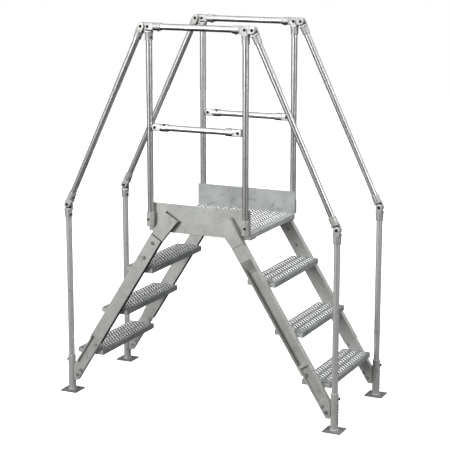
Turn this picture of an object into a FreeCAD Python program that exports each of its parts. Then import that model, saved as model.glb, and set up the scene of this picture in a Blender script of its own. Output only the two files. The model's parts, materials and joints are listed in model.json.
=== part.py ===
import FreeCAD, Part
import os
import Sketcher
from FreeCAD import Placement, Rotation, Vector

doc = FreeCAD.newDocument("CrossoverPlatform")

# Driving dimensions, millimetres unless a count. The crossing runs along X, the front is -Y.
SIZES = [
    ("rise", 254.0, "height of one step"),
    ("run", 159.4, "going of one step"),
    ("treadCount", 3, "treads in each flight, the deck comes above them"),
    ("treadDepth", 162.5, "tread, back edge to nosing"),
    ("treadFlange", 31.0, "depth of the downturned tread edges"),
    ("treadUnderDeck", 17.0, "how far the top tread reaches under the deck"),
    ("panSheet", 3.0, "sheet of the treads and the deck"),
    ("rowCount", 3, "tooth rows in one tread"),
    ("rowDepth", 38.0, "front to back size of a tooth row"),
    ("rowGap", 12.0, "plain strip between tooth rows"),
    ("toothPitch", 25.4, "tooth spacing along a row"),
    ("toothSlot", 13.0, "opening between two teeth"),
    ("toothRise", 6.0, "teeth above the sheet"),
    ("rowEnd", 24.0, "plain end of a tooth row"),
    ("deckLength", 604.0, "deck along the crossing direction"),
    ("deckDrop", 9.0, "deck below the height of one more full step"),
    ("deckFlange", 30.0, "depth of the deck nosings"),
    ("clearWidth", 598.4, "between the side plates"),
    ("plateThick", 4.8, "side plates and tread ends"),
    ("toeHeight", 124.0, "side plate above the deck"),
    ("seatWidth", 75.0, "inward leg of a side plate, which carries the deck"),
    ("stringerWidth", 73.0, "stringer channel across its web"),
    ("stringerDepth", 38.0, "stringer channel over its flanges"),
    ("stringerWall", 4.0, "sheet of the stringers"),
    ("jointDrop", 29.0, "upper stringer ends below the side plates"),
    ("stringerFoot", 70.0, "lower end of the stringer flanges from the first tread, along the slope"),
    ("webFoot", 45.0, "stringer web below the first tread, along the slope"),
    ("stubDepth", 35.0, "upper stub out from the side plate"),
    ("stubLength", 152.0, "upper stub along the slope"),
    ("stubFlare", 19.0, "how much wider the upper stub gets at its top, on the underside"),
    ("stubWall", 4.5, "sheet of the stubs"),
    ("spliceReach", 161.0, "splice inside the stringer, at the web"),
    ("spliceMitre", 74.0, "slant of the splice end"),
    ("footLap", 53.0, "foot stub inside the stringer"),
    ("footStubBase", 66.0, "underside of the foot stub above the floor"),
    ("footReach", 113.0, "foot post beyond the first tread centre"),
    ("sunkDepth", 13.5, "sunk face of the foot stub behind its edges"),
    ("sunkLip", 7.0, "edge beside the sunk face"),
    ("sunkTop", 15.0, "edge above the sunk face"),
    ("sunkLength", 198.0, "sunk face along the slope"),
    ("tubeDia", 33.4, "posts and rails"),
    ("tubeWall", 3.4, "wall of posts and rails"),
    ("sleeveDia", 42.2, "sleeves and foot tubes"),
    ("slipGap", 0.3, "gap between a tube and its sleeve, on the radius"),
    ("weldBite", 1.5, "how far a welded sleeve is let into its plate"),
    ("postSleeve", 79.0, "length of the sleeves on the side plates"),
    ("postDrop", 4.0, "lower end of the platform posts below the deck"),
    ("footTube", 206.0, "top of the foot tubes above the floor"),
    ("postInsert", 150.0, "lower post inside its foot tube"),
    ("basePlate", 101.6, "side of the square base plates"),
    ("baseThick", 6.4, "thickness of the base plates"),
    ("railHeight", 1072.0, "top rail above the deck"),
    ("midHeight", 538.0, "middle rail above the deck"),
    ("elbowHeight", 1080.0, "elbow pivots above the floor"),
    ("pivotSpan", 41.0, "between the two pivots of a top fitting"),
    ("pivotRadius", 17.5, "rounded ears around the pivots"),
    ("earThick", 11.0, "thickness of one ear"),
    ("plateEnd", 26.0, "square end of a fitting plate, from its pivot"),
    ("socketStart", 29.0, "from a pivot to its tube socket"),
    ("socketEnd", 73.0, "from a pivot to the mouth of its tube socket"),
    ("tubeSeat", 36.0, "from a pivot to the end of the tube in its socket"),
    ("midPivot", 37.7, "from a post axis to a middle rail pivot"),
]

sheet = doc.addObject("Spreadsheet::Sheet", "sheet")
for row, (alias, value, note) in enumerate(SIZES, start=1):
    sheet.set(f"A{row}", note)
    sheet.set(f"B{row}", str(value))
    sheet.setAlias(f"B{row}", alias)
doc.recompute()

parts = []


def value(expression):
    result = sheet.evalExpression(expression)
    return float(getattr(result, "Value", result))


def bind(target, **formulas):
    for name, formula in formulas.items():
        target.setExpression(name.replace("_", "."), formula)


def place(target, x="0", y="0", z="0", turn=None, axis=(0, 1, 0)):
    if turn is not None:
        target.Placement = Placement(Vector(), Rotation(Vector(*axis), value(turn)))
        target.setExpression("Placement.Rotation.Angle", turn)
    bind(target, Placement_Base_x=x, Placement_Base_y=y, Placement_Base_z=z)


def keep(target, label):
    target.Label = label
    parts.append(target)
    return target


def new_body(label):
    return keep(doc.addObject("PartDesign::Body", label), label)


def sketch_on(body, role, offset="0"):
    plane = next(f for f in body.Origin.OriginFeatures if f.Role == role)
    sketch = body.newObject("Sketcher::SketchObject", "Sketch")
    sketch.AttachmentSupport = (plane, "")
    sketch.MapMode = "FlatFace"
    sketch.setExpression("AttachmentOffset.Base.z", offset)
    return sketch


# A closed outline whose corners are formulas on the sheet
def outline(sketch, corners):
    first = sketch.GeometryCount
    points = [Vector(value(x), value(y), 0) for x, y in corners]
    count = len(points)
    for i in range(count):
        sketch.addGeometry(Part.LineSegment(points[i], points[(i + 1) % count]), False)
    for i in range(count):
        sketch.addConstraint(Sketcher.Constraint("Coincident", first + i, 2, first + (i + 1) % count, 1))
    for i, corner in enumerate(corners):
        for kind, formula in zip(("DistanceX", "DistanceY"), corner):
            start = points[i].x if kind == "DistanceX" else points[i].y
            number = sketch.addConstraint(Sketcher.Constraint(kind, -1, 1, first + i, 1, start))
            sketch.setExpression(f"Constraints[{number}]", formula)


def rectangle(sketch, left, right, low, high):
    outline(sketch, [(left, low), (right, low), (right, high), (left, high)])


def ring(sketch, *radii):
    for formula in radii:
        circle = sketch.addGeometry(Part.Circle(Vector(), Vector(0, 0, 1), value(formula)), False)
        sketch.addConstraint(Sketcher.Constraint("Coincident", circle, 3, -1, 1))
        number = sketch.addConstraint(Sketcher.Constraint("Radius", circle, value(formula)))
        sketch.setExpression(f"Constraints[{number}]", formula)


def pad(body, sketch, length, symmetric=False, flip=False):
    feature = body.newObject("PartDesign::Pad", "Pad")
    feature.Profile = sketch
    feature.SideType = "Symmetric" if symmetric else "One side"
    feature.Reversed = flip
    bind(feature, Length=length)
    return feature


def pocket(body, sketch, length, symmetric=False, flip=False):
    feature = body.newObject("PartDesign::Pocket", "Pocket")
    feature.Profile = sketch
    feature.SideType = "Symmetric" if symmetric else "One side"
    feature.Reversed = flip
    bind(feature, Length=length)
    return feature


# Formulas that several pieces share
HALF_CLEAR = "sheet.clearWidth / 2"
OUTER_FACE = f"({HALF_CLEAR} + sheet.plateThick)"
POST_Y = f"({OUTER_FACE} + sheet.sleeveDia / 2 - sheet.weldBite)"
POST_X = "(sheet.deckLength / 2 - sheet.sleeveDia / 2)"
DECK = "((sheet.treadCount + 1) * sheet.rise - sheet.deckDrop)"
PLATE_BASE = f"({DECK} - sheet.deckFlange - sheet.plateThick)"
FIRST_X = ("(sheet.deckLength / 2 - sheet.treadUnderDeck + sheet.treadDepth / 2"
           " + (sheet.treadCount - 1) * sheet.run)")
FIRST_Z = "(sheet.rise - sheet.treadFlange / 2)"
FOOT_X = f"({FIRST_X} + sheet.footReach)"
SLOPE = "atan(sheet.rise / sheet.run)"
STRINGER_TOP = f"(({PLATE_BASE} - sheet.jointDrop - {FIRST_Z}) / sin({SLOPE}))"
STUB_BACK = f"({OUTER_FACE} + sheet.stringerWall)"
STUB_FACE = f"({OUTER_FACE} + sheet.stubDepth)"
INSIDE_STRINGER = "(sheet.stringerWidth - 2 * sheet.stringerWall - 2 * sheet.slipGap)"
TOP_PIVOT = f"({DECK} + sheet.railHeight)"
SLEEVE_BORE = "(sheet.tubeDia / 2 + sheet.slipGap)"
OUTER_PIVOT = f"({POST_X} + sheet.pivotSpan)"
RAIL_RUN = f"({FOOT_X} - {OUTER_PIVOT})"
RAIL_DROP = f"({TOP_PIVOT} - sheet.elbowHeight)"
RAIL_LEAN = f"atan({RAIL_RUN} / {RAIL_DROP})"

SIDES = [("front", -1), ("back", 1)]
ENDS = [("left", -1), ("right", 1)]
CORNERS = [(f"{side}_{end}", sx, sy) for side, sy in SIDES for end, sx in ENDS]


# Distance along and across the stringer centre line, as a point in X and Z
def along(distance, across, sx):
    x = f"{sx} * ({FIRST_X} - ({distance}) * cos({SLOPE}) + ({across}) * sin({SLOPE}))"
    z = f"{FIRST_Z} + ({distance}) * sin({SLOPE}) + ({across}) * cos({SLOPE})"
    return x, z


def pan_section(length, drop):
    half = f"{length} / 2"
    inner = f"({half} - sheet.panSheet)"
    return [(f"-{half}", f"-{drop}"), (f"-{half}", "0"), (half, "0"), (half, f"-{drop}"),
            (inner, f"-{drop}"), (inner, "-sheet.panSheet"),
            (f"-{inner}", "-sheet.panSheet"), (f"-{inner}", f"-{drop}")]


# Pressed rows of teeth: a raised band for each row, with an opening between every two teeth
def tooth_rows(body, rows):
    depth = f"({rows} * sheet.rowDepth + ({rows} - 1) * sheet.rowGap)"
    step = "(sheet.rowDepth + sheet.rowGap)"
    left = f"(-{depth} / 2)"
    reach = f"({HALF_CLEAR} - sheet.rowEnd)"
    slots = f"floor(2 * {reach} / sheet.toothPitch)"
    first = f"(-({slots} - 1) * sheet.toothPitch / 2)"

    band = sketch_on(body, "XY_Plane")
    rectangle(band, left, f"{left} + sheet.rowDepth", f"-{reach}", reach)
    raised = pad(body, band, "sheet.toothRise")
    under = sketch_on(body, "XY_Plane", "-sheet.panSheet")
    rectangle(under, f"{left} + sheet.panSheet", f"{left} + sheet.rowDepth - sheet.panSheet",
              f"-{reach} + sheet.panSheet", f"{reach} - sheet.panSheet")
    pressed = pocket(body, under, "sheet.toothRise", flip=True)
    bands = body.newObject("PartDesign::LinearPattern", "Bands")
    bands.Originals = [raised, pressed]
    bands.Direction = (band, ["H_Axis"])
    bands.Mode = "Spacing"
    bind(bands, Offset=step, Occurrences=rows)
    doc.recompute()

    slot = sketch_on(body, "XY_Plane", "sheet.toothRise")
    edge = "sheet.toothSlot / 4"
    rectangle(slot, f"{left} + {edge}", f"{left} + sheet.rowDepth - {edge}",
              f"{first} - sheet.toothSlot / 2", f"{first} + sheet.toothSlot / 2")
    opening = pocket(body, slot, "2 * (sheet.toothRise + sheet.panSheet)")
    openings = body.newObject("PartDesign::LinearPattern", "Openings")
    openings.Originals = [opening]
    openings.Direction = (slot, ["H_Axis"])
    openings.Mode = "Spacing"
    openings.Direction2 = (slot, ["V_Axis"])
    openings.Mode2 = "Spacing"
    bind(openings, Offset=step, Occurrences=rows, Offset2="sheet.toothPitch", Occurrences2=slots)
    body.Tip = openings
    doc.recompute()


def make_pan(label, length, width, drop, rows):
    body = new_body(label)
    section = sketch_on(body, "XZ_Plane")
    outline(section, pan_section(length, drop))
    pad(body, section, width, symmetric=True)
    tooth_rows(body, rows)
    return body


def make_deck():
    step = "(sheet.rowDepth + sheet.rowGap)"
    body = make_pan("deck", "sheet.deckLength", "sheet.clearWidth", "sheet.deckFlange",
                    f"floor((sheet.deckLength - sheet.rowGap) / {step})")
    place(body, z=DECK)


def make_tread(end, sx, number):
    body = make_pan(f"tread_{end}_{number}", "sheet.treadDepth", f"2 * {OUTER_FACE}",
                    "sheet.treadFlange", "sheet.rowCount")
    plates = sketch_on(body, "YZ_Plane")
    for side in (-1, 1):
        rectangle(plates, f"{side} * {OUTER_FACE}", f"{side} * {HALF_CLEAR}",
                  "-sheet.treadFlange", "-sheet.panSheet")
    ends = pad(body, plates, "sheet.treadDepth - sheet.panSheet", symmetric=True)
    body.Tip = ends
    place(body, x=f"{sx} * ({FIRST_X} - {number - 1} * sheet.run)", z=f"{number} * sheet.rise")


# An angle whose tall leg is the toe board and whose low leg carries the deck
def make_side_plate(side, sy):
    body = new_body(f"side_plate_{side}")
    section = sketch_on(body, "YZ_Plane")
    outer, inner = f"{sy} * {OUTER_FACE}", f"{sy} * {HALF_CLEAR}"
    leg = f"{sy} * ({OUTER_FACE} - sheet.seatWidth)"
    top = f"{DECK} + sheet.toeHeight"
    seat = f"{PLATE_BASE} + sheet.plateThick"
    outline(section, [(outer, PLATE_BASE), (outer, top), (inner, top), (inner, seat), (leg, seat),
                      (leg, PLATE_BASE)])
    pad(body, section, "sheet.deckLength", symmetric=True)
    base = f"{DECK} - sheet.postDrop"
    for _, sx in ENDS:
        for kind, radius in (("Additive", "sheet.sleeveDia / 2"), ("Subtractive", SLEEVE_BORE)):
            sleeve = body.newObject(f"PartDesign::{kind}Cylinder", "Sleeve")
            place(sleeve, f"{sx} * {POST_X}", f"{sy} * {POST_Y}", base)
            bind(sleeve, Radius=radius, Height="sheet.postSleeve")
    body.Tip = sleeve


# A channel along local Z from the low edge to the high one, its web on the near or on the far side
def channel_section(low, high, far, wall, web_far):
    web, lips = (far, OUTER_FACE) if web_far else (OUTER_FACE, far)
    back = f"({web} - {wall})" if web_far else f"({web} + {wall})"
    return [(low, web), (high, web), (high, lips), (f"{high} - {wall}", lips), (f"{high} - {wall}", back),
            (f"{low} + {wall}", back), (f"{low} + {wall}", lips), (low, lips)]


def turned(sx):
    return f"{-sx} * atan(sheet.run / sheet.rise)"


def mirror(corners, sx, sy):
    return [(f"{sx} * ({x})", f"{sy} * ({y})") for x, y in corners]


# The web runs on below the flanges to carry the first tread
def make_stringer(name, sx, sy):
    body = new_body(f"stringer_{name}")
    section = sketch_on(body, "XY_Plane")
    far = f"({OUTER_FACE} + sheet.stringerDepth)"
    outline(section, mirror(channel_section("-sheet.stringerWidth / 2", "sheet.stringerWidth / 2", far,
                                            "sheet.stringerWall", False), sx, sy))
    pad(body, section, f"{STRINGER_TOP} - sheet.stringerFoot")
    web = sketch_on(body, "XY_Plane")
    half = "(sheet.stringerWidth / 2 - sheet.stringerWall)"
    rectangle(web, f"-{half}", half, f"{sy} * {OUTER_FACE}", f"{sy} * {STUB_BACK}")
    pad(body, web, "sheet.stringerFoot + sheet.webFoot", flip=True)
    x, z = along("sheet.stringerFoot", "0", sx)
    place(body, x=x, z=z, turn=turned(sx))


# Channel welded to the side plate, which flares towards its top, and the splice below it
def make_upper_stub(name, sx, sy):
    body = new_body(f"upper_stub_{name}")
    sections = []
    for level, flare in (("0", ""), ("sheet.stubLength", " - sheet.stubFlare")):
        section = sketch_on(body, "XY_Plane", level)
        outline(section, mirror(channel_section(f"-sheet.stringerWidth / 2{flare}", "sheet.stringerWidth / 2",
                                                STUB_FACE, "sheet.stubWall", True), sx, sy))
        sections.append(section)
    flared = body.newObject("PartDesign::AdditiveLoft", "Flare")
    flared.Profile = sections[0]
    flared.Sections = [sections[1]]
    flared.Ruled = True
    splice = sketch_on(body, "XY_Plane", "-sheet.spliceReach")
    half = f"({INSIDE_STRINGER} / 2)"
    rectangle(splice, f"-{half}", half, f"{sy} * {STUB_BACK}", f"{sy} * {STUB_FACE}")
    pad(body, splice, "sheet.spliceReach + sheet.stubWall")
    hollow = sketch_on(body, "XY_Plane", "-sheet.spliceReach")
    inner = f"({half} - sheet.stubWall)"
    rectangle(hollow, f"-{inner}", inner, f"{sy} * ({STUB_BACK} + sheet.stubWall)",
              f"{sy} * ({STUB_FACE} - sheet.stubWall)")
    pocket(body, hollow, "sheet.spliceReach", flip=True)
    mitre = sketch_on(body, "YZ_Plane")
    outline(mitre, [(f"{sy} * {STUB_BACK}", "-sheet.spliceReach"),
                    (f"{sy} * {STUB_FACE}", "-sheet.spliceReach"),
                    (f"{sy} * {STUB_FACE}", "sheet.spliceMitre - sheet.spliceReach")])
    pocket(body, mitre, "sheet.stringerWidth", symmetric=True)
    x, z = along(STRINGER_TOP, "0", sx)
    place(body, x=x, z=z, turn=turned(sx))


# Foot weldment: base plate, tube for the lower post, and the stub that is bolted into the stringer
def make_foot(name, sx, sy):
    body = new_body(f"foot_{name}")
    base = sketch_on(body, "XY_Plane")
    half = "sheet.basePlate / 2"
    post = f"{sy} * {POST_Y}"
    foot = f"{sx} * {FOOT_X}"
    rectangle(base, f"{foot} - {half}", f"{foot} + {half}", f"{post} - {half}", f"{post} + {half}")
    pad(body, base, "sheet.baseThick")

    half_width = f"({INSIDE_STRINGER} / 2)"
    lap = "sheet.stringerFoot + sheet.footLap"
    cut = f"({FOOT_X} - sheet.sleeveDia / 2 + sheet.weldBite)"
    rest = "sheet.footStubBase"
    tilt = f"tan({SLOPE})"

    def stub_outline(half_across, start, bottom):
        upper = along(start, half_across, sx)
        lower = along(start, f"-{half_across}", sx)
        edge = f"({half_across}) / cos({SLOPE})"
        level = f"({FIRST_Z} - ({cut} - {FIRST_X}) * {tilt} + {edge})"
        corner = f"({FIRST_X} + ({FIRST_Z} - {edge} - {bottom}) / {tilt})"
        return [upper, (f"{sx} * {cut}", level), (f"{sx} * {cut}", bottom),
                (f"{sx} * {corner}", bottom), lower]

    stub = sketch_on(body, "XZ_Plane", f"{-sy} * {STUB_BACK}")
    outline(stub, stub_outline(half_width, lap, rest))
    pad(body, stub, "sheet.stubDepth - sheet.stringerWall", flip=sy > 0)
    hollow = sketch_on(body, "XZ_Plane", f"{-sy} * ({STUB_BACK} + sheet.stubWall)")
    outline(hollow, stub_outline(f"({half_width} - sheet.stubWall)", f"{lap} + sheet.stubWall",
                                 f"({rest} - sheet.stubWall)"))
    pocket(body, hollow, "sheet.stubDepth - sheet.stringerWall - 2 * sheet.stubWall", flip=sy < 0)

    def strip(top, bottom, half_across):
        return [along(top, half_across, sx), along(bottom, half_across, sx),
                along(bottom, f"-{half_across}", sx), along(top, f"-{half_across}", sx)]

    start = f"({lap} - sheet.sunkTop)"
    finish = f"({start} - sheet.sunkLength)"
    tray = sketch_on(body, "XZ_Plane", f"{-sy} * {STUB_FACE}")
    outline(tray, strip(lap, f"{finish} - sheet.stubWall", half_width))
    pad(body, tray, "sheet.sunkDepth + sheet.stubWall", flip=sy < 0)
    sunk = sketch_on(body, "XZ_Plane", f"{-sy} * {STUB_FACE}")
    outline(sunk, strip(start, finish, f"({half_width} - sheet.sunkLip)"))
    pocket(body, sunk, "sheet.sunkDepth", flip=sy > 0)

    tube = body.newObject("PartDesign::AdditiveCylinder", "Tube")
    place(tube, foot, post, "0")
    bind(tube, Radius="sheet.sleeveDia / 2", Height="sheet.footTube")
    bore = body.newObject("PartDesign::SubtractiveCylinder", "Bore")
    place(bore, foot, post, "sheet.baseThick")
    bind(bore, Radius=SLEEVE_BORE, Height="sheet.footTube")
    body.Tip = bore


def make_tube(label, length, x, y, z, turn=None):
    body = new_body(label)
    section = sketch_on(body, "XY_Plane")
    ring(section, "sheet.tubeDia / 2", "sheet.tubeDia / 2 - sheet.tubeWall")
    pad(body, section, length)
    place(body, x, y, z, turn)


def make_posts_and_rails():
    for name, sx, sy in CORNERS:
        y = f"{sy} * {POST_Y}"
        base = f"({DECK} - sheet.postDrop)"
        make_tube(f"platform_post_{name}", f"{TOP_PIVOT} - sheet.tubeSeat - {base}",
                  f"{sx} * {POST_X}", y, base)
        low = "(sheet.footTube - sheet.postInsert)"
        make_tube(f"lower_post_{name}", f"sheet.elbowHeight - sheet.tubeSeat - {low}",
                  f"{sx} * {FOOT_X}", y, low)
        reach = f"sqrt({RAIL_RUN} ^ 2 + {RAIL_DROP} ^ 2)"
        make_tube(f"slope_rail_{name}", f"{reach} - 2 * sheet.tubeSeat",
                  f"{sx} * ({FOOT_X} - sheet.tubeSeat * sin({RAIL_LEAN}))", y,
                  f"sheet.elbowHeight + sheet.tubeSeat * cos({RAIL_LEAN})", f"{-sx} * {RAIL_LEAN}")
    for side, sy in SIDES:
        make_tube(f"top_rail_{side}", f"2 * ({POST_X} - sheet.tubeSeat)",
                  f"-({POST_X} - sheet.tubeSeat)", f"{sy} * {POST_Y}", TOP_PIVOT, "90 deg")
        make_mid_rail(side, sy)


def cylinder(radius, height, x="0", y="0", z="0", turn=None, axis=(0, 1, 0)):
    shape = doc.addObject("Part::Cylinder", "Cylinder")
    place(shape, x, y, z, turn, axis)
    bind(shape, Radius=radius, Height=height)
    return shape


def box(length, width, height, x, y, z, turn=None):
    shape = doc.addObject("Part::Box", "Box")
    place(shape, x, y, z, turn)
    bind(shape, Length=length, Width=width, Height=height)
    return shape


def fuse(shapes):
    result = doc.addObject("Part::MultiFuse", "Fusion")
    result.Shapes = shapes
    result.Refine = True
    return result


def cut(base, tools):
    result = doc.addObject("Part::Cut", "Cut")
    result.Base = base
    result.Tool = tools[0] if len(tools) == 1 else fuse(tools)
    result.Refine = True
    return result


# A round ear about a pivot, behind or in front of the plane through the tube axes
def ear(pivot_x, side):
    back = "sheet.earThick" if side > 0 else "0"
    return cylinder("sheet.pivotRadius", "sheet.earThick", pivot_x, back, "0", "90 deg", (1, 0, 0))


# A flat plate on that side, as high as the ears
def link(middle, length, side):
    front = "0" if side > 0 else "-sheet.earThick"
    return box(length, "sheet.earThick", "2 * sheet.pivotRadius",
               f"{middle} - ({length}) / 2", front, "-sheet.pivotRadius")


# One swivel socket: an ear on the pivot, its arm and a capped tube socket, along the turn angle
def swivel(pivot_x, turn, side):
    front = "0" if side > 0 else "-sheet.earThick"
    sine, cosine = f"sin({turn})", f"cos({turn})"
    arm = box("2 * sheet.pivotRadius", "sheet.earThick", "sheet.socketStart",
              f"{pivot_x} - sheet.pivotRadius * {cosine}", front, f"sheet.pivotRadius * {sine}", turn)
    socket = cylinder("sheet.sleeveDia / 2", "sheet.socketEnd - sheet.socketStart",
                      f"{pivot_x} + sheet.socketStart * {sine}", "0", f"sheet.socketStart * {cosine}", turn)
    bore = cylinder(SLEEVE_BORE, "sheet.socketEnd",
                    f"{pivot_x} + (sheet.tubeSeat - sheet.slipGap) * {sine}", "0",
                    f"(sheet.tubeSeat - sheet.slipGap) * {cosine}", turn)
    return [ear(pivot_x, side), arm, socket], [bore]


def make_top_fitting(name, sx, sy):
    rail, rail_bore = swivel("0", f"{-sx} * 90 deg", sx)
    post, post_bore = swivel("0", "180 deg", -sx)
    outer = f"{sx} * sheet.pivotSpan"
    slope, slope_bore = swivel(outer, f"180 deg - {sx} * {RAIL_LEAN}", sx)
    plate = link(f"{sx} * (sheet.pivotSpan - sheet.plateEnd) / 2", "sheet.pivotSpan + sheet.plateEnd", -sx)
    fitting = cut(fuse(rail + post + slope + [plate, ear(outer, -sx)]), rail_bore + post_bore + slope_bore)
    keep(fitting, f"top_fitting_{name}")
    place(fitting, f"{sx} * {POST_X}", f"{sy} * {POST_Y}", TOP_PIVOT)


def make_elbow(name, sx, sy):
    slope, slope_bore = swivel("0", f"{-sx} * {RAIL_LEAN}", sx)
    post, post_bore = swivel("0", "180 deg", -sx)
    fitting = cut(fuse(slope + post), slope_bore + post_bore)
    keep(fitting, f"elbow_{name}")
    place(fitting, f"{sx} * {FOOT_X}", f"{sy} * {POST_Y}", "sheet.elbowHeight")


# The middle rail with the swivel bracket at each end, which is clamped to the post
def make_mid_rail(side, sy):
    pivot = f"({POST_X} - sheet.midPivot)"
    solids, bores = [], []
    for _, sx in ENDS:
        arm, bore = swivel(f"{sx} * {pivot}", f"{-sx} * 90 deg", sx)
        solids += arm
        bores += bore
        reach = "(sheet.midPivot - sheet.tubeDia / 2 - sheet.slipGap)"
        solids.append(link(f"{sx} * ({pivot} + ({reach} - sheet.plateEnd) / 2)",
                           f"{reach} + sheet.plateEnd", -sx))
    seat = f"({pivot} - sheet.tubeSeat)"
    outer = cylinder("sheet.tubeDia / 2", f"2 * {seat}", f"-{seat}", "0", "0", "90 deg")
    inner = cylinder("sheet.tubeDia / 2 - sheet.tubeWall", f"2 * {seat}", f"-{seat}", "0", "0", "90 deg")
    bracket = cut(fuse(solids), bores)
    rail = keep(fuse([bracket, cut(outer, [inner])]), f"mid_rail_{side}")
    place(rail, "0", f"{sy} * {POST_Y}", f"{DECK} + sheet.midHeight")


make_deck()
for side, sy in SIDES:
    make_side_plate(side, sy)
for end, sx in ENDS:
    for number in range(1, int(value("sheet.treadCount")) + 1):
        make_tread(end, sx, number)
for name, sx, sy in CORNERS:
    make_upper_stub(name, sx, sy)
    make_stringer(name, sx, sy)
    make_foot(name, sx, sy)
    make_top_fitting(name, sx, sy)
    make_elbow(name, sx, sy)
make_posts_and_rails()
doc.recompute()

for thing in doc.Objects:
    if "Invalid" in thing.State or "Error" in thing.State:
        raise RuntimeError(f"{thing.Label} did not build: {thing.State}")
for thing in parts:
    if thing.Shape.isNull() or not thing.Shape.isValid():
        raise RuntimeError(f"{thing.Label} has no valid shape")

os.makedirs("parts", exist_ok=True)
for thing in parts:
    thing.Shape.exportStep(f"parts/{thing.Label}.step")
    print(thing.Label, len(thing.Shape.Solids), round(thing.Shape.Volume / 1000), "cm3")
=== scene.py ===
import json
import math

import bmesh
import bpy
from mathutils import Matrix, Vector


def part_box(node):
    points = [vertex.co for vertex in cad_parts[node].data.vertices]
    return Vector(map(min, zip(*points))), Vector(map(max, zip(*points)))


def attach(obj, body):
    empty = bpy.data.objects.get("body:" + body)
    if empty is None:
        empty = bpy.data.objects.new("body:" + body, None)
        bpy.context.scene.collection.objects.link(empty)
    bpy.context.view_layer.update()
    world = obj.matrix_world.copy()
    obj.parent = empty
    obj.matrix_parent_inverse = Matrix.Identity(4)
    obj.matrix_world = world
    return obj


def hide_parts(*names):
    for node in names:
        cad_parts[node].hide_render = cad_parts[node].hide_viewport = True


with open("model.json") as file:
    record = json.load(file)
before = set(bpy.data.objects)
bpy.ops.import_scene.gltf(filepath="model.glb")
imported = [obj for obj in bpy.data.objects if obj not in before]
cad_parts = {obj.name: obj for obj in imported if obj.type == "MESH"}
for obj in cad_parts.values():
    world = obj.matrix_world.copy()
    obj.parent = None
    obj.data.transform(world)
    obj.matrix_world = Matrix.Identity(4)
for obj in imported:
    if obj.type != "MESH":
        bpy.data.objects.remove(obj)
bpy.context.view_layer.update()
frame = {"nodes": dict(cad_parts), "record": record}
nodes = frame["nodes"]
slotOf = {part["node"]: part["material_slot"] for part in frame["record"]["subparts"]}

sides = (("front", -1), ("back", 1))
ends = (("left", -1), ("right", 1))
corners = [(f"{side}_{end}", sx, sy) for side, sy in sides for end, sx in ends]


def middle(node, axis):
    low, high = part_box(node)
    return (low[axis] + high[axis]) / 2


# Places and sizes that the pieces share, most of them worked out from the boxes of the CAD nodes
treadLow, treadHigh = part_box("tread_right_1")
secondLow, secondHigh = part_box("tread_right_2")
layout = {
    "postX": middle("platform_post_front_right", 0),
    "postY": middle("platform_post_back_right", 1),
    "footX": middle("lower_post_front_right", 0),
    "topZ": middle("top_rail_front", 2),
    "midZ": middle("mid_rail_front", 2),
    "elbowZ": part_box("elbow_front_right")[0].z + 0.073,
    "pivotSpan": 0.041,
    "midPivot": 0.0377,
    "socketScrew": 0.056,
    "sleeve": 0.0211,
    "tube": 0.0167,
    "webFace": treadHigh.y,
    "turnedFace": -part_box("stringer_front_left")[0].y,
    "stubFace": treadHigh.y + 0.035,
    "firstX": (treadLow.x + treadHigh.x) / 2,
    "firstZ": treadLow.z + 0.0155,
    "slope": math.atan2(secondLow.z - treadLow.z, treadLow.x - secondLow.x),
}
layout["lean"] = math.atan2(layout["footX"] - layout["postX"] - layout["pivotSpan"],
                            layout["topZ"] - layout["elbowZ"])


# A point by its distance along and across the stringer, from the first tread up
def onStringer(distance, across, sx, y):
    sine, cosine = math.sin(layout["slope"]), math.cos(layout["slope"])
    x = layout["firstX"] - distance * cosine + across * sine
    return Vector((sx * x, y, layout["firstZ"] + distance * sine + across * cosine))


def roundEdges(bm, edges, width, segments=2, clamp=False):
    bmesh.ops.bevel(bm, geom=edges, offset=width, offset_type="OFFSET", affect="EDGES", segments=segments,
                    profile=0.5, material=-1, clamp_overlap=clamp)


# A flat bar along a stringer, from its ends along, across and outward
def addBar(bm, sx, sy, along, across, outward, width):
    sine, cosine = math.sin(layout["slope"]), math.cos(layout["slope"])
    place = onStringer(sum(along) / 2, sum(across) / 2, sx, sy * sum(outward) / 2)
    turn = Matrix(((-sx * cosine, sx * sine, 0), (0, 0, 1), (sine, cosine, 0))).to_4x4()
    size = (along[1] - along[0], across[1] - across[0], outward[1] - outward[0])
    shape = Matrix.Translation(place) @ turn @ Matrix.Diagonal((*size, 1))
    made = bmesh.ops.create_cube(bm, size=1, matrix=shape)
    faces = list({face for vert in made["verts"] for face in vert.link_faces})
    bmesh.ops.recalc_face_normals(bm, faces=faces)
    roundEdges(bm, list({edge for vert in made["verts"] for edge in vert.link_edges}), width)


# Shader helpers: a Signal is one socket, and sums on it add Math nodes
class Signal:
    def __init__(self, finish, socket):
        self.finish = finish
        self.socket = socket

    def sum(self, operation, first, second):
        return self.finish.add("ShaderNodeMath", {"operation": operation}, {0: first, 1: second})

    def __add__(self, other):
        return self.sum("ADD", self, other)

    def __rsub__(self, other):
        return self.sum("SUBTRACT", other, self)

    def __mul__(self, other):
        return self.sum("MULTIPLY", self, other)

    __radd__ = __add__
    __rmul__ = __mul__


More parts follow.
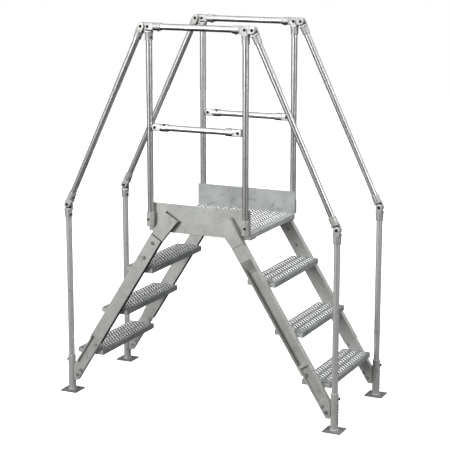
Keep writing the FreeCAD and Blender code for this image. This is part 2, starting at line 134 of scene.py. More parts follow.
class Finish:
    def __init__(self, name):
        self.material = bpy.data.materials.new(name)
        self.material.use_nodes = True
        self.tree = self.material.node_tree
        self.shader = self.tree.nodes["Principled BSDF"]
        self.place = self.add("ShaderNodeTexCoord", output="Object")

    # A node of any kind, its settings first and then its sockets
    def add(self, kind, settings=None, sockets=None, output=0):
        node = self.tree.nodes.new(kind)
        for name, setting in (settings or {}).items():
            setattr(node, name, setting)
        for name, entry in (sockets or {}).items():
            self.feed(node.inputs[name], entry)
        return Signal(self, node.outputs[output])

    def feed(self, socket, entry):
        if isinstance(entry, Signal):
            self.tree.links.new(entry.socket, socket)
        else:
            socket.default_value = entry

    def set(self, **sockets):
        for name, entry in sockets.items():
            self.feed(self.shader.inputs[name.replace("_", " ")], entry)

    def noise(self, scale, detail=3, roughness=0.6, place=None, distortion=0):
        return self.add("ShaderNodeTexNoise", None, {
            "Vector": place or self.place, "Scale": scale, "Detail": detail,
            "Roughness": roughness, "Distortion": distortion})

    def spread(self, signal, low, high, to=(0, 1)):
        return self.add("ShaderNodeMapRange", {"interpolation_type": "SMOOTHSTEP"}, {
            "Value": signal, "From Min": low, "From Max": high, "To Min": to[0], "To Max": to[1]})

    def blend(self, factor, first, second):
        return self.add("ShaderNodeMix", {"data_type": "RGBA", "clamp_factor": True},
                        {0: factor, 6: first, 7: second}, output=2)

    def turned(self, lean, size):
        return self.add("ShaderNodeMapping", {"vector_type": "TEXTURE"}, {
            "Vector": self.place, "Rotation": (0, lean, 0), "Scale": size})


def rgb(*shade):
    return (*shade, 1)


zinc = {
    "plate": {"light": (0.52, 0.53, 0.505), "dark": (0.40, 0.41, 0.39), "cloud": 9, "metal": 0.45,
              "rough": 0.46, "stain": 0.75},
    # inner: a darker copy of plate, painted shade on the back side plate
    "inner": {"light": (0.43, 0.445, 0.435), "dark": (0.31, 0.32, 0.315), "cloud": 9, "metal": 0.45,
              "rough": 0.46, "stain": 0.85},
    # plank and deck are darker and tooth and deckToothHighlight far brighter copies of the zinc: painted
    # shade on the tread body and between the rows, painted highlight on the teeth
    "plank": {"light": (0.33, 0.34, 0.345), "dark": (0.21, 0.22, 0.225), "cloud": 14, "metal": 0.35,
              "rough": 0.55, "stain": 0.3},
    "toothHighlight": {"light": (0.90, 0.91, 0.91), "dark": (0.74, 0.75, 0.76), "cloud": 20, "metal": 0.2,
              "rough": 0.55, "stain": 0.1},
    "deck": {"light": (0.44, 0.45, 0.455), "dark": (0.31, 0.32, 0.33), "cloud": 14, "metal": 0.35,
             "rough": 0.55, "stain": 0.2},
    "deckToothHighlight": {"light": (0.97, 0.98, 0.98), "dark": (0.84, 0.85, 0.86), "cloud": 20, "metal": 0.2,
                  "rough": 0.5, "stain": 0.05},
    "tube": {"light": (0.80, 0.81, 0.785), "dark": (0.44, 0.45, 0.44), "cloud": 11, "metal": 1.0,
             "rough": 0.24, "stain": 0.45},
    "lower": {"light": (0.97, 0.98, 0.96), "dark": (0.62, 0.63, 0.62), "cloud": 11, "metal": 0.8,
              "rough": 0.26, "stain": 0.4},
    "bolt": {"light": (0.40, 0.41, 0.41), "dark": (0.20, 0.20, 0.20), "cloud": 24, "metal": 0.7,
             "rough": 0.4, "stain": 0.35},
    "fitting": {"light": (0.58, 0.59, 0.57), "dark": (0.35, 0.36, 0.35), "cloud": 24, "metal": 0.75,
                "rough": 0.42, "stain": 0.35},
    "base": {"light": (0.26, 0.265, 0.27), "dark": (0.14, 0.145, 0.15), "cloud": 16, "metal": 0.4,
             "rough": 0.55, "stain": 0.3},
    "weld": {"light": (0.62, 0.63, 0.62), "dark": (0.40, 0.41, 0.40), "cloud": 30, "metal": 0.5,
             "rough": 0.45, "stain": 0.2},
    # under, underEdge and shade: painted shade, a near-black colour blended into faces that point down
    "under": 0.95,
    "underEdge": (-0.40, -0.50),
    "spangle": 120,
    "streak": (0.035, 0.035, 1.0),
    "streakCloud": 3.2,
    "cloudEdge": (0.36, 0.66),
    "speckScale": 330,
    "speckEdge": (0.3, 0.75),
    "patchScale": 15,
    "patchEdge": (0.545, 0.66),
    "smearScale": 52,
    "smearEdge": (0.55, 0.70),
    "tarnish": 0.18,
    "bump": {"Strength": 0.22, "Distance": 0.0004},
    "grime": (0.23, 0.23, 0.215),
    "shade": (0.03, 0.03, 0.03),
}


# Zinc over steel: soft clouds, fine spangles, a few dull stains, painted shade on faces that point
# down and, on tubes, streaks along the run
def zincFinish(name, kind, lean=None, undersideShade=zinc["under"]):
    tone = zinc[kind]
    coat = Finish(name)
    place = coat.place if lean is None else coat.turned(lean, zinc["streak"])
    cloudScale = tone["cloud"] if lean is None else zinc["streakCloud"]
    clouds = coat.spread(coat.noise(cloudScale, 5, 0.6, place), *zinc["cloudEdge"])
    cells = coat.add("ShaderNodeTexVoronoi", {"feature": "F1"},
                     {"Vector": coat.place, "Scale": zinc["spangle"]}, output="Color")
    grain = coat.add("ShaderNodeSeparateColor", None, {"Color": cells})
    speck = coat.spread(coat.noise(zinc["speckScale"], 2, 0.5), *zinc["speckEdge"])
    mask = clouds * 0.55 + grain * 0.2 + speck * 0.25
    clean = coat.blend(mask, rgb(*tone["dark"]), rgb(*tone["light"]))
    patches = coat.spread(coat.noise(zinc["patchScale"], 6, 0.72, distortion=1.2), *zinc["patchEdge"])
    smears = coat.spread(coat.noise(zinc["smearScale"], 5, 0.75), *zinc["smearEdge"])
    stains = (patches * (0.45 + 0.55 * speck) + smears * 0.4) * tone["stain"]
    worn = coat.blend(stains, clean, rgb(*zinc["grime"]))
    # Painted shade: faces that point down are blended towards the near-black shade colour
    facing = coat.add("ShaderNodeNewGeometry", output="Normal")
    height = coat.add("ShaderNodeSeparateXYZ", None, {"Vector": facing}, output="Z")
    under = coat.spread(height, *zinc["underEdge"]) * undersideShade
    shade = coat.blend(under, worn, rgb(*zinc["shade"]))
    rough = tone["rough"] + zinc["tarnish"] * (1 - mask)
    coat.set(Base_Color=shade, Metallic=tone["metal"], Roughness=rough)
    relief = speck * 0.5 + grain * 0.2 + clouds * 0.3
    coat.set(Normal=coat.add("ShaderNodeBump", None, {**zinc["bump"], "Height": relief}))
    return coat.material


def darkFinish(name, low, high):
    dark = Finish(name)
    wear = dark.spread(dark.noise(400, 3), 0.4, 0.7)
    dark.set(Base_Color=dark.blend(wear, rgb(low, low, low), rgb(high, high, high)), Roughness=0.8,
             Specular_IOR_Level=0.1)
    return dark.material


finishes = {
    "plate": zincFinish("zincPlate", "plate"),
    # Painted shade: the darker inner copy of the plate finish
    "inner": zincFinish("zincShadedPlate", "inner"),
    # Painted shade on the tread and deck bodies, painted highlight on their teeth
    "plank": zincFinish("zincPlankShaded", "plank"),
    "toothHighlight": zincFinish("zincToothHighlight", "toothHighlight"),
    "deck": zincFinish("zincDeckShaded", "deck"),
    "deckToothHighlight": zincFinish("zincDeckToothHighlight", "deckToothHighlight"),
    "upright": zincFinish("zincUpright", "tube", 0),
    "lower": zincFinish("zincLower", "lower", 0),
    "level": zincFinish("zincLevel", "tube", math.radians(90)),
    "slopeLeft": zincFinish("zincSlopeLeft", "tube", layout["lean"]),
    "slopeRight": zincFinish("zincSlopeRight", "tube", -layout["lean"]),
    "fitting": zincFinish("zincFitting", "fitting"),
    "foot": zincFinish("zincFoot", "plate", undersideShade=0),
    "base": zincFinish("zincBase", "base"),
    "weld": zincFinish("zincWeld", "weld"),
    # dark: near black for the pivot heads, set screws and knobs, and painted shade in the shadow gaps and
    # the holes of the foot tubes
    "dark": darkFinish("darkSteelAndShade", 0.008, 0.02),
    # slot: painted shade on the walls of the cut openings in the treads and deck
    "slot": darkFinish("slotShade", 0.05, 0.11),
    "bolt": zincFinish("zincBolt", "bolt"),
}
print("finishes ready")


# A finished mesh becomes a piece that rides on the frame
def addPiece(name, bm, slotName, materials, replaced=(), sharp=32):
    mesh = bpy.data.meshes.new(name)
    bm.normal_update()
    bm.to_mesh(mesh)
    bm.free()
    mesh.polygons.foreach_set("use_smooth", [True] * len(mesh.polygons))
    mesh.set_sharp_from_angle(angle=math.radians(sharp))
    for material in materials:
        mesh.materials.append(material)
    piece = bpy.data.objects.new(name, mesh)
    bpy.context.scene.collection.objects.link(piece)
    flat = piece.modifiers.new("flatFaces", "WEIGHTED_NORMAL")
    flat.keep_sharp = True
    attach(piece, "root")
    if replaced:
        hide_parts(*replaced)
    return piece


rounding = {"join": 1e-5, "flat": math.radians(1), "hard": math.radians(30)}


# A CAD node's shape with its flat faces joined and its hard edges rounded
def rounded(node, width):
    bm = bmesh.new()
    bm.from_mesh(nodes[node].data)
    bmesh.ops.remove_doubles(bm, verts=bm.verts, dist=rounding["join"])
    bmesh.ops.dissolve_limit(bm, angle_limit=rounding["flat"], verts=bm.verts, edges=bm.edges)
    hard = [edge for edge in bm.edges if edge.calc_face_angle(0) > rounding["hard"]]
    roundEdges(bm, hard, width, clamp=True)
    return bm


edgeWidth = {"plate": 0.0011, "tube": 0.0006, "fitting": 0.0013, "foot": 0.0011}
basePlateTop = 0.0066


def tubeFinish(node):
    if "rail" not in node:
        return finishes["lower" if "lower" in node else "upright"]
    if "slope" not in node:
        return finishes["level"]
    return finishes["slopeLeft" if "left" in node else "slopeRight"]


# Cast ears: a half sleeve runs from each socket to a round end about its pivot
casting = {"radius": 0.0195, "thick": 0.0185, "length": 0.034, "rim": 0.0045, "steps": 20, "neck": 0.0215,
           "plateEnd": 0.0265, "plateStep": 0.001, "plateGap": 0.0002}


# A solid between an outline and its copy a step away
def addPrism(bm, outline, step):
    near = [bm.verts.new(point) for point in outline]
    far = [bm.verts.new(point + step) for point in outline]
    count = len(outline)
    made = [bm.faces.new(near), bm.faces.new(far)]
    made += [bm.faces.new((near[i], near[(i + 1) % count], far[(i + 1) % count], far[i]))
             for i in range(count)]
    bmesh.ops.recalc_face_normals(bm, faces=made)
    return made


def addSlab(bm, outline, thick):
    faces = addPrism(bm, outline, Vector((0, thick, 0)))
    roundEdges(bm, list(faces[1].edges), casting["rim"], segments=4, clamp=True)


def addEar(bm, pivot, along, side):
    radius, reach = casting["radius"], along * casting["length"]
    across = Vector((along.z, 0, -along.x)) * radius
    outline = []
    for step in range(casting["steps"] + 1):
        angle = math.pi * step / casting["steps"]
        outline.append(pivot + across * math.cos(angle) - along * radius * math.sin(angle))
    outline += [pivot - across + reach, pivot + across + reach]
    addSlab(bm, outline, side * casting["thick"])
    neck = along * casting["neck"]
    addSlab(bm, [pivot + across + neck, pivot - across + neck, pivot - across + reach,
                 pivot + across + reach], -side * casting["thick"])


# Pivots of the fittings, with the way each socket points from its pivot and the side of its ear
def swivels(sx, sy):
    lean, y = layout["lean"], sy * layout["postY"]
    inner = Vector((sx * layout["postX"], y, layout["topZ"]))
    outer = inner + Vector((sx * layout["pivotSpan"], 0, 0))
    elbow = Vector((sx * layout["footX"], y, layout["elbowZ"]))
    bracket = Vector((sx * (layout["postX"] - layout["midPivot"]), y, layout["midZ"]))
    slope = Vector((-sx * math.sin(lean), 0, math.cos(lean)))
    down, inward = Vector((0, 0, -1)), Vector((-sx, 0, 0))
    return {"top_fitting": [(inner, inward, sx), (inner, down, -sx), (outer, -slope, sx)],
            "elbow": [(elbow, slope, sx), (elbow, down, -sx)],
            "mid_rail": [(bracket, inward, sx)]}


# The ears of one fitting, and the plate that joins the two pivots of a top fitting or backs a bracket
def addFitting(bm, kind, sockets, sx):
    for pivot, along, side in sockets:
        addEar(bm, pivot, along, side)
    if kind == "elbow":
        return
    if kind == "top_fitting":
        addEar(bm, pivot, Vector((-sx, 0, 0)), -sx)
        near, far = layout["pivotSpan"] + casting["plateEnd"], 0
    else:
        near, far = casting["plateEnd"], layout["tube"] - layout["midPivot"]
    low, high = sorted((pivot.x - sx * near, pivot.x - sx * far))
    radius = casting["radius"] - casting["plateStep"]
    outline = ((low, -radius), (high, -radius), (high, radius), (low, radius))
    addSlab(bm, [Vector((x, pivot.y, pivot.z + z)) for x, z in outline],
            -sx * (casting["thick"] - casting["plateGap"]))


def addCastings(bm, node):
    for name, sx, sy in corners:
        for kind, sockets in swivels(sx, sy).items():
            place = name.split("_")[0] if kind == "mid_rail" else name
            if node == f"{kind}_{place}":
                addFitting(bm, kind, sockets, sx)


# In the photo the front left stringer stands the other way round, its web in front and its flanges behind
turnedSide = {"wall": 0.004, "half": 0.0355, "webStart": 0.1235, "flangeStart": 0.0875, "top": 0.8326,
              "squeeze": 0.85, "webEdge": 0.0011, "flangeEdge": 0.0008, "lap": 0.0012}


def turnedStringer():
    bm = bmesh.new()
    wall, half, face, top = turnedSide["wall"], turnedSide["half"], layout["turnedFace"], turnedSide["top"]
    addBar(bm, -1, -1, (turnedSide["webStart"], top), (-half, half), (face - wall, face),
           turnedSide["webEdge"])
    for side in (-1, 1):
        across = sorted((side * half, side * (half - wall)))
        addBar(bm, -1, -1, (turnedSide["flangeStart"], top), across,
               (layout["webFace"], face - turnedSide["lap"]), turnedSide["flangeEdge"])
    return bm


# The open ends of the stubs are closed by a plate, slanted at the splice and square at the foot. The
# upper stub behind the turned stringer stays open
stubEnd = {"half": 0.0308, "wall": 0.0016, "splice": (0.745, 0.675), "foot": (0.1215, 0.1215),
           "inner": 0.0042, "outer": 0.0006}


def addStubEnd(bm, sx, sy, ends):
    inner, outer = layout["webFace"] + stubEnd["inner"], layout["stubFace"] - stubEnd["outer"]
    wall, half = stubEnd["wall"], stubEnd["half"]
    ring = [onStringer(distance, -half, sx, sy * y) for distance, y in
            ((ends[0], outer), (ends[0] - wall, outer), (ends[1] - wall, inner), (ends[1], inner))]
    addPrism(bm, ring, onStringer(0, half, sx, 0) - onStringer(0, -half, sx, 0))


def nodeMesh(node, slotName):
    if node == "stringer_front_left":
        return turnedStringer()
    bm = rounded(node, edgeWidth[slotName])
    if node == "upper_stub_front_left":
        for vert in bm.verts:
            vert.co.y = (vert.co.y + layout["webFace"]) * turnedSide["squeeze"] - layout["webFace"]
        return bm
    for name, sx, sy in corners:
        if node == f"upper_stub_{name}":
            addStubEnd(bm, sx, sy, stubEnd["splice"])
        if node == f"foot_{name}":
            addStubEnd(bm, sx, sy, stubEnd["foot"])
    addCastings(bm, node)
    return bm


def nodeFinish(node, slotName):
    # The back side plate takes the darker inner finish: painted shade, as it is seen from inside the stairs
    if node == "side_plate_back":
        return finishes["inner"]
    return tubeFinish(node) if slotName == "tube" else finishes[slotName]


def makeNodeCopies():
    for node, slotName in slotOf.items():
        if slotName == "tread_plank":
            continue
        bm = nodeMesh(node, slotName)
        materials = [nodeFinish(node, slotName)]
        if slotName == "foot":
            materials.append(finishes["base"])
            for face in bm.faces:
                if face.calc_center_median().z < basePlateTop:
                    face.material_index = 1
        addPiece(f"{node}Skin", bm, slotName, materials, [node])


# Serrated planks: a section over the depth is repeated along the width, and its rows are cut open
# between their teeth
plank = {
    "sheet": 0.003,
    "bend": 0.005,
    "bendSteps": 4,
    "rowDepth": 0.034,
    "rowPitch": 0.050,
    "margin": 0.012,
    "pitch": 0.0283,
    "slot": 0.0125,
    "height": 0.0105,
    "drop": 0.0075,
    "flank": 0.0115,
    "notch": 0.0011,
    "notches": 3,
    "plainEnd": 0.024,
    "ramp": 0.007,
    "endPlate": 0.0048,
    "endGap": 0.0002,
    "endEdge": 0.0009,
    "toe": (0.0015, 0.0010),
    "crest": (0.3, 0.7),
}


# Points of the section: a top point, the point under it, and whether the stretch after it is cut open
def plankSection(depth, drop, rows):
    half, bend, sheet = depth / 2, plank["bend"], plank["sheet"]
    bendX, left = bend - half, [((-half, -drop), (-half + sheet, -drop), False)]
    for step in range(plank["bendSteps"] + 1):
        angle = math.pi / 2 * step / plank["bendSteps"]
        outer, inner = ((reach * math.cos(angle), reach * math.sin(angle)) for reach in (bend, bend - sheet))
        left.append(((bendX - outer[0], outer[1] - bend), (bendX - inner[0], inner[1] - bend), False))
    section = list(left)
    edge, flank = plank["rowDepth"] / 2, plank["flank"]
    toe = plank["toe"]
    for row in range(rows):
        centre = (row - (rows - 1) / 2) * plank["rowPitch"]
        hump = [(-edge, 0), (toe[0] - edge, toe[1]), (flank - edge, plank["height"] - plank["notch"])]
        width = 2 * (edge - flank) / plank["notches"]
        for notch in range(plank["notches"]):
            start = flank - edge + notch * width
            hump += [(start + share * width, plank["height"]) for share in plank["crest"]]
            hump.append((start + width, plank["height"] - plank["notch"]))
        hump += [(edge - toe[0], toe[1]), (edge, 0)]
        for number, (x, z) in enumerate(hump):
            opens = 0 < number < len(hump) - 2
            section.append(((centre + x, z), (centre + x, -sheet), opens))
    section += [((-top[0], top[1]), (-under[0], under[1]), False) for top, under, _ in reversed(left)]
    return section


# Places along the width: where the section stands, how high its rows are, and whether slots start
def plankStations(width, clear):
    reach = clear / 2 - plank["plainEnd"]
    slots = math.floor(2 * reach / plank["pitch"])
    stations = [(-width / 2, 0, False), (-reach, 0, False), (plank["ramp"] - reach, 1, False)]
    for slot in range(slots):
        centre = (slot - (slots - 1) / 2) * plank["pitch"]
        stations.append((centre - plank["slot"] / 2, 1, True))
        stations.append((centre + plank["slot"] / 2, 1, False))
    return stations + [(reach - plank["ramp"], 1, False), (reach, 0, False), (width / 2, 0, False)]


def plankMesh(depth, width, drop, rows, clear, place):
    bm = bmesh.new()
    section = plankSection(depth, drop, rows)
    stations = plankStations(width, clear)
    grid = []
    for y, height, _ in stations:
        line = []
        for top, under, _ in section:
            lift = top[1] * (1 - height) if top[1] > 0 else 0
            line.append((bm.verts.new((top[0], y, top[1] - lift)), bm.verts.new((under[0], y, under[1]))))
        grid.append(line)

    def solid(j, i):
        inside = 0 <= j < len(stations) - 1 and 0 <= i < len(section) - 1
        return inside and not (stations[j][2] and section[i][2])

    for j in range(len(stations) - 1):
        for i in range(len(section) - 1):
            if not solid(j, i):
                continue
            a, b, c, d = grid[j][i], grid[j][i + 1], grid[j + 1][i + 1], grid[j + 1][i]
            crown = bm.faces.new((a[0], b[0], c[0], d[0]))
            # Tops of the teeth take the bright tooth finish, a painted highlight; the rest keeps the darker
            # plank finish, painted shade
            crown.material_index = 1 if section[i][2] and stations[j][1] else 0
            bm.faces.new((d[1], c[1], b[1], a[1]))
            walls = (((j - 1, i), a, b), ((j, i + 1), b, c), ((j + 1, i), c, d), ((j, i - 1), d, a))
            for (row, column), start, finish in walls:
                if not solid(row, column):
                    wall = bm.faces.new((start[0], start[1], finish[1], finish[0]))
                    # Walls of the cut openings take the near-black slot finish: painted shade
                    wall.material_index = 2 if section[i][2] and row != j else 0
    bmesh.ops.delete(bm, geom=[vert for vert in bm.verts if not vert.link_faces], context="VERTS")
    bmesh.ops.translate(bm, vec=place, verts=bm.verts)
    return bm


def addBox(bm, low, high, width):
    size = [b - a for a, b in zip(low, high)]
    place = Vector([(a + b) / 2 for a, b in zip(low, high)])
    made = bmesh.ops.create_cube(bm, size=1, matrix=Matrix.Translation(place) @ Matrix.Diagonal((*size, 1)))
    roundEdges(bm, list({edge for vert in made["verts"] for edge in vert.link_edges}), width)


# The rows of the treads end where those of the deck do
def makePlanks():
    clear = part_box("deck")[1].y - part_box("deck")[0].y
    for node, slotName in slotOf.items():
        if slotName != "tread_plank":
            continue
        low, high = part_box(node)
        depth, width = high.x - low.x, high.y - low.y
        top = high.z - plank["drop"]
        rows = math.floor((depth - plank["margin"]) / plank["rowPitch"])
        centre = Vector(((low.x + high.x) / 2, 0, top))
        bm = plankMesh(depth, width, top - low.z, rows, clear, centre)
        if node != "deck":
            inset = plank["sheet"] / 2 + plank["endGap"]
            for sy in (-1, 1):
                faces = sorted((sy * width / 2, sy * (width / 2 - plank["endPlate"])))
                known = set(bm.faces)
                addBox(bm, (low.x + inset, faces[0], low.z),
                       (high.x - inset, faces[1], top - plank["sheet"]), plank["endEdge"])
                for face in set(bm.faces) - known:
                    face.material_index = 3
        kinds = ("deck", "deckToothHighlight", "slot") if node == "deck" else ("plank", "toothHighlight", "slot", "plate")
        addPiece(f"{node}Plank", bm, slotName, [finishes[kind] for kind in kinds], [node])


# Fasteners: small drums made once along +Z, with a rounded top and some with a sunk socket. They are
# stamped where a screw or bolt sits
def drum(radius, height, segments, chamfer, hollow=0):
    bm = bmesh.new()
    made = bmesh.ops.create_cone(bm, cap_ends=True, segments=segments, radius1=radius, radius2=radius,
                                 depth=height)
    bmesh.ops.translate(bm, vec=(0, 0, height / 2), verts=made["verts"])
    top = next(face for face in bm.faces if face.normal.z > 0.9)
    roundEdges(bm, list(top.edges), chamfer, segments=3)
    if hollow:
        top = max((face for face in bm.faces if face.normal.z > 0.9), key=lambda face: face.calc_area())
        bmesh.ops.inset_region(bm, faces=[top], thickness=hollow, depth=0, use_even_offset=True)
        bmesh.ops.inset_region(bm, faces=[top], thickness=0.0001, depth=-0.6 * height, use_even_offset=True)
    mesh = bpy.data.meshes.new("stamp")
    bm.to_mesh(mesh)
    bm.free()
    return mesh


stamps = {
    "pivotHead": drum(0.0078, 0.0030, 32, 0.0012, 0.0030),
    "roundHead": drum(0.0085, 0.0042, 32, 0.0028),
    "hexHead": drum(0.0078, 0.0055, 6, 0.0007),
    "washer": drum(0.0115, 0.0018, 32, 0.0005),
    "boss": drum(0.0082, 0.0042, 28, 0.0014),
    "setScrew": drum(0.0058, 0.0014, 24, 0.0003),
    "hole": drum(0.0062, 0.0006, 24, 0.0002),
    "knob": drum(0.0072, 0.0095, 24, 0.0016),
}


class Stamped:
    def __init__(self):
        self.bm = bmesh.new()

    def put(self, kind, place, axis, roll=0):
        self.bm.verts.ensure_lookup_table()
        first = len(self.bm.verts)
        self.bm.from_mesh(stamps[kind])
        self.bm.verts.ensure_lookup_table()
        spin = Vector(axis).to_track_quat("Z", "Y").to_matrix().to_4x4() @ Matrix.Rotation(roll, 4, "Z")
        bmesh.ops.transform(self.bm, matrix=Matrix.Translation(Vector(place)) @ spin,
                            verts=self.bm.verts[first:])


fastening = {
    "screwTurn": math.radians(57),
    "splice": ((0.795, 0.0), (0.695, 0.0)),
    "stub": ((0.063, -0.018), (-0.118, -0.018), (-0.155, -0.014)),
    "sunkFace": 0.0135,
    "footHoles": 6,
    "holePitch": 0.019,
    "lowestHole": 0.045,
    "footScrew": 0.179,
    "sleeveScrew": 0.036,
    "sleeveFoot": 0.006,
    "sleeveTurn": 0.26,
    "bossSink": 0.0008,
    "screwRise": 0.0034,
    "headSink": 0.0004,
    "washerSink": 0.0002,
    "washerRise": 0.0016,
    "hexRoll": 0.4,
    "wall": 0.004,
}


# A boss on a tube socket with its set screw, at a distance along the socket from its pivot
def putSetScrew(bright, dark, pivot, along, distance, outward, radius):
    axis = Vector(outward).normalized()
    place = Vector(pivot) + Vector(along) * distance + axis * (radius - fastening["bossSink"])
    bright.put("boss", place, axis)
    dark.put("setScrew", place + axis * fastening["screwRise"], axis)


def putBolt(bright, distance, across, sx, sy, face, roll):
    place = onStringer(distance, across, sx, sy * face)
    bright.put("washer", place, (0, sy, 0))
    bright.put("hexHead", place + Vector((0, sy * fastening["washerRise"], 0)), (0, sy, 0), roll)


def makeHandrailScrews():
    lean, reach, radius = layout["lean"], layout["socketScrew"], layout["sleeve"]
    face = casting["thick"] - fastening["headSink"]
    for name, sx, sy in corners:
        bright, dark = Stamped(), Stamped()
        sockets = swivels(sx, sy)
        inner, outer = sockets["top_fitting"][0][0], sockets["top_fitting"][2][0]
        elbow, bracket = sockets["elbow"][0][0], sockets["mid_rail"][0][0]
        for pivot in (inner, outer, elbow, bracket):
            for side in (-1, 1):
                dark.put("pivotHead", pivot + Vector((0, side * face, 0)), (0, side, 0))
        turn = fastening["screwTurn"]
        aside = Vector((-sx * math.sin(turn), sx * math.cos(turn), 0))
        down, inward = Vector((0, 0, -1)), Vector((-sx, 0, 0))
        slope = Vector((-sx * math.sin(lean), 0, math.cos(lean)))
        under = Vector((-sx * math.cos(lean), 0, -math.sin(lean)))
        slopeSide = (under * math.sin(turn) + Vector((0, sx * math.cos(turn), 0))).normalized()
        for pivot, along, outward in ((inner, down, aside), (inner, inward, down),
                                      (outer, -slope, slopeSide), (elbow, slope, slopeSide),
                                      (elbow, down, aside), (bracket, inward, (0, sx, 1))):
            putSetScrew(bright, dark, pivot, along, reach, outward, radius)
        sleeve = Vector((inner.x, inner.y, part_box("deck")[1].z - fastening["sleeveFoot"]))
        outward = (sx * fastening["sleeveTurn"], sy, 0)
        putSetScrew(bright, dark, sleeve, (0, 0, 1), fastening["sleeveScrew"], outward, radius)
        addPiece(f"handrailScrews_{name}", bright.bm, "fitting", [finishes["bolt"]])
        addPiece(f"handrailSockets_{name}", dark.bm, "fitting", [finishes["dark"]])


# Outside, the upper splice bolt shows on the turned stringer alone
def makeStringerBolts():
    for name, sx, sy in corners:
        bright, dark = Stamped(), Stamped()
        inward, turned = (0, -sy, 0), name == "front_left"
        outside = layout["turnedFace"] if turned else layout["webFace"] + fastening["wall"]
        outside -= fastening["washerSink"]
        for number, (distance, across) in enumerate(fastening["splice"]):
            if not turned:
                bright.put("roundHead", onStringer(distance, across, sx, sy * layout["webFace"]), inward)
            if number or turned:
                putBolt(bright, distance, across, sx, sy, outside, fastening["hexRoll"])
        for number, (distance, across) in enumerate(fastening["stub"]):
            depth, wall = (0, fastening["wall"]) if number else (fastening["sunkFace"], 0)
            putBolt(bright, distance, across, sx, sy, layout["stubFace"] - depth, number)
            inside = onStringer(distance, across, sx, sy * (layout["webFace"] + wall))
            bright.put("roundHead", inside, inward)
        foot = Vector((sx * layout["footX"], sy * layout["postY"], 0))
        axis = Vector((sx, 0, 0))
        # The holes are near-black discs set on the tube: painted shade
        for hole in range(fastening["footHoles"]):
            level = fastening["lowestHole"] + hole * fastening["holePitch"]
            dark.put("hole", foot + axis * layout["sleeve"] + Vector((0, 0, level)), axis)
        putSetScrew(bright, dark, foot, (0, 0, 1), fastening["footScrew"], axis, layout["sleeve"])
        dark.put("knob", foot + axis * layout["sleeve"] + Vector((0, 0, fastening["footScrew"])), axis)
        addPiece(f"stringerBolts_{name}", bright.bm, "fitting", [finishes["bolt"]])
        addPiece(f"footHoles_{name}", dark.bm, "foot", [finishes["dark"]])


# Weld beads: a slightly uneven ring round each foot tube
weld = {"radius": 0.0028, "ripples": 34, "rise": 0.00045, "around": 10, "level": 0.0070, "gap": 0.0006}


def weldRing(bm, centre, radius):
    count, around = 4 * weld["ripples"], weld["around"]
    rings = []
    for step in range(count):
        angle = 2 * math.pi * step / count
        swell = weld["radius"] + weld["rise"] * math.sin(weld["ripples"] * angle)
        cosine, sine = math.cos(angle), math.sin(angle)
        ring = []
        for side in range(around):
            turn = 2 * math.pi * side / around
            reach, z = radius + swell * math.cos(turn), centre[2] + swell * math.sin(turn)
            ring.append(bm.verts.new((centre[0] + reach * cosine, centre[1] + reach * sine, z)))
        rings.append(ring)
    for first, second in zip(rings, rings[1:] + rings[:1]):
        for side in range(around):
            other = (side + 1) % around
            bm.faces.new((first[side], second[side], second[other], first[other]))


def makeWelds():
    for name, sx, sy in corners:
        bm = bmesh.new()
        weldRing(bm, (sx * layout["footX"], sy * layout["postY"], weld["level"]),
                 layout["sleeve"] + weld["gap"])
        addPiece(f"footWeld_{name}", bm, "foot", [finishes["weld"]], sharp=60)


# Shadow gaps: where the stub meets the stringer, and at the ends of the legs under the deck
gap = {"half": 0.0345, "across": 0.0365, "back": 0.0016, "front": 0.0004, "depth": 0.004,
       "turnedDepth": 0.0052, "turnedFront": 0.0030, "turnedInset": 0.0010, "leg": 0.0012,
       "legLow": 0.0004, "legHigh": 0.0044, "legDepth": 0.002, "legProud": 0.0002, "edge": 0.0001}


def makeGaps():
    bm = bmesh.new()
    sine, cosine = math.sin(layout["slope"]), math.cos(layout["slope"])
    for name, sx, sy in corners:
        start = (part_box(f"stringer_{name}")[1].z - layout["firstZ"] - gap["across"] * cosine) / sine
        near, far = layout["stubFace"] - gap["depth"], layout["stubFace"] + gap["front"]
        wide, half = gap["front"], gap["half"]
        if name == "front_left":
            near, far = layout["stubFace"] - gap["turnedDepth"], layout["turnedFace"] - gap["turnedInset"]
            wide = gap["turnedFront"]
        ring = [onStringer(start + step, across, sx, sy * near) for step, across in
                ((-gap["back"], -half), (wide, -half), (wide, half), (-gap["back"], half))]
        addPrism(bm, ring, Vector((0, sy * (far - near), 0)))
        plateLow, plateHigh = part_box(f"side_plate_{name.split('_')[0]}")
        inner = min(abs(plateLow.y), abs(plateHigh.y))
        edge, foot = sx * plateHigh.x, plateLow.z
        ys = sorted((sy * (inner + gap["leg"]), sy * (layout["webFace"] - gap["depth"])))
        xs = sorted((edge - sx * gap["legDepth"], edge + sx * gap["legProud"]))
        addBox(bm, (xs[0], ys[0], foot + gap["legLow"]), (xs[1], ys[1], foot + gap["legHigh"]), gap["edge"])
    addPiece("shadowGaps", bm, "plate", [finishes["dark"]])


makeNodeCopies()
print("node copies ready")
makePlanks()
print("planks ready")
makeHandrailScrews()
makeStringerBolts()
makeWelds()
makeGaps()
print("fasteners and welds ready")

studio = {
    "cameraPlace": (3.4405, -7.2695, 2.7119),
    "azimuth": 25.26,
    "elevation": 12.22,
    "lens": 118.83,
    "skyLow": 0.22,
    "skyHigh": 0.80,
    "bands": 0.8,
    "horizon": (-0.05, 0.75),
    "floorSeen": 0.85,
    "floorLit": 0.12,
    "paper": 0.82,
    "floorRadius": 14,
    "floorZ": -0.001,
}
lamps = {
    "keyLamp": {"place": (-2.6, -6.0, 3.2), "target": (0, 0, 1.0), "size": (1.5, 3.6), "power": 300},
    "topLamp": {"place": (1.0, -0.5, 5.0), "target": (0, 0, 0.8), "size": (2.2, 2.2), "power": 110},
    "sideLamp": {"place": (5.4, -2.0, 2.6), "target": (0, 0, 1.0), "size": (0.9, 3.4), "power": 90},
}


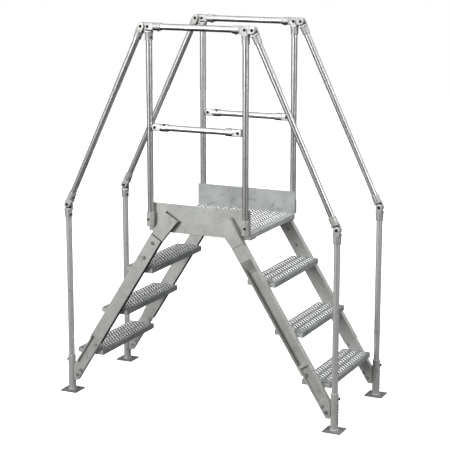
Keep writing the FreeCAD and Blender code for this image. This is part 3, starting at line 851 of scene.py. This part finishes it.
def makeCamera():
    camera = bpy.data.objects.new("camera", bpy.data.cameras.new("camera"))
    camera.data.lens = studio["lens"]
    camera.data.sensor_width = 36
    camera.data.clip_end = 60
    azimuth, elevation = (math.radians(studio[key]) for key in ("azimuth", "elevation"))
    back = Vector((math.sin(azimuth) * math.cos(elevation), -math.cos(azimuth) * math.cos(elevation),
                   math.sin(elevation)))
    camera.rotation_euler = back.to_track_quat("Z", "Y").to_euler()
    camera.location = studio["cameraPlace"]
    bpy.context.scene.collection.objects.link(camera)
    bpy.context.scene.camera = camera


def makeLamp(name, place, target, size, power):
    lamp = bpy.data.objects.new(name, bpy.data.lights.new(name, "AREA"))
    lamp.data.shape = "RECTANGLE"
    lamp.data.size, lamp.data.size_y = size
    lamp.data.energy = power
    lamp.location = place
    lamp.rotation_euler = (Vector(place) - Vector(target)).to_track_quat("Z", "Y").to_euler()
    bpy.context.scene.collection.objects.link(lamp)


# The floor is white to the camera and a dark grey to the light that bounces off it
def makeStage():
    bm = bmesh.new()
    bmesh.ops.create_circle(bm, cap_ends=True, segments=64, radius=studio["floorRadius"])
    floor = bpy.data.objects.new("floor", bpy.data.meshes.new("floor"))
    bm.to_mesh(floor.data)
    bm.free()
    floor.data.transform(Matrix.Translation((0, 0, studio["floorZ"])))
    bpy.context.scene.collection.objects.link(floor)
    paper = Finish("paper")
    seen = paper.add("ShaderNodeLightPath", output="Is Camera Ray")
    lit, white, glow = studio["floorLit"], studio["paper"], studio["floorSeen"]
    paper.set(Base_Color=paper.blend(seen, rgb(lit, lit, lit), rgb(white, white, white)), Roughness=0.95,
              Emission_Color=paper.blend(seen, rgb(0, 0, 0), rgb(glow, glow, glow)), Emission_Strength=1.0,
              Specular_IOR_Level=0.0)
    floor.data.materials.append(paper.material)


# The world is white to the camera. To the metal it is dark below and bright above, in bands all round
def makeWorld():
    world = bpy.data.worlds.new("studio")
    world.use_nodes = True
    tree = world.node_tree
    add, link = tree.nodes.new, tree.links.new
    background = tree.nodes["Background"]
    place, split = add("ShaderNodeTexCoord"), add("ShaderNodeSeparateXYZ")
    link(place.outputs["Generated"], split.inputs[0])
    height = add("ShaderNodeMapRange")
    height.interpolation_type = "SMOOTHSTEP"
    height.inputs["From Min"].default_value = studio["horizon"][0]
    height.inputs["From Max"].default_value = studio["horizon"][1]
    height.inputs["To Min"].default_value = studio["skyLow"]
    height.inputs["To Max"].default_value = studio["skyHigh"]
    link(split.outputs["Z"], height.inputs["Value"])
    angle, doubled, wave, band, level = (add("ShaderNodeMath") for _ in range(5))
    for node, operation in zip((angle, doubled, wave, band, level),
                               ("ARCTAN2", "MULTIPLY_ADD", "COSINE", "MULTIPLY_ADD", "MULTIPLY")):
        node.operation = operation
    link(split.outputs["X"], angle.inputs[0])
    link(split.outputs["Y"], angle.inputs[1])
    link(angle.outputs[0], doubled.inputs[0])
    doubled.inputs[1].default_value = 2
    doubled.inputs[2].default_value = math.radians(2 * studio["azimuth"])
    link(doubled.outputs[0], wave.inputs[0])
    link(wave.outputs[0], band.inputs[0])
    band.inputs[1].default_value = -studio["bands"]
    band.inputs[2].default_value = 1
    link(height.outputs[0], level.inputs[0])
    link(band.outputs[0], level.inputs[1])
    rays, seen, mix = add("ShaderNodeLightPath"), add("ShaderNodeMath"), add("ShaderNodeMix")
    seen.operation = "MAXIMUM"
    link(rays.outputs["Is Camera Ray"], seen.inputs[0])
    link(rays.outputs["Is Transmission Ray"], seen.inputs[1])
    link(seen.outputs[0], mix.inputs[0])
    link(level.outputs[0], mix.inputs[2])
    mix.inputs[3].default_value = 1.0
    link(mix.outputs[0], background.inputs["Strength"])
    background.inputs["Color"].default_value = (1, 1, 1, 1)
    bpy.context.scene.world = world


makeCamera()
makeStage()
makeWorld()
for lampName, lampSettings in lamps.items():
    makeLamp(lampName, **lampSettings)
print("stage ready")

bpy.context.scene.view_settings.view_transform = "Standard"
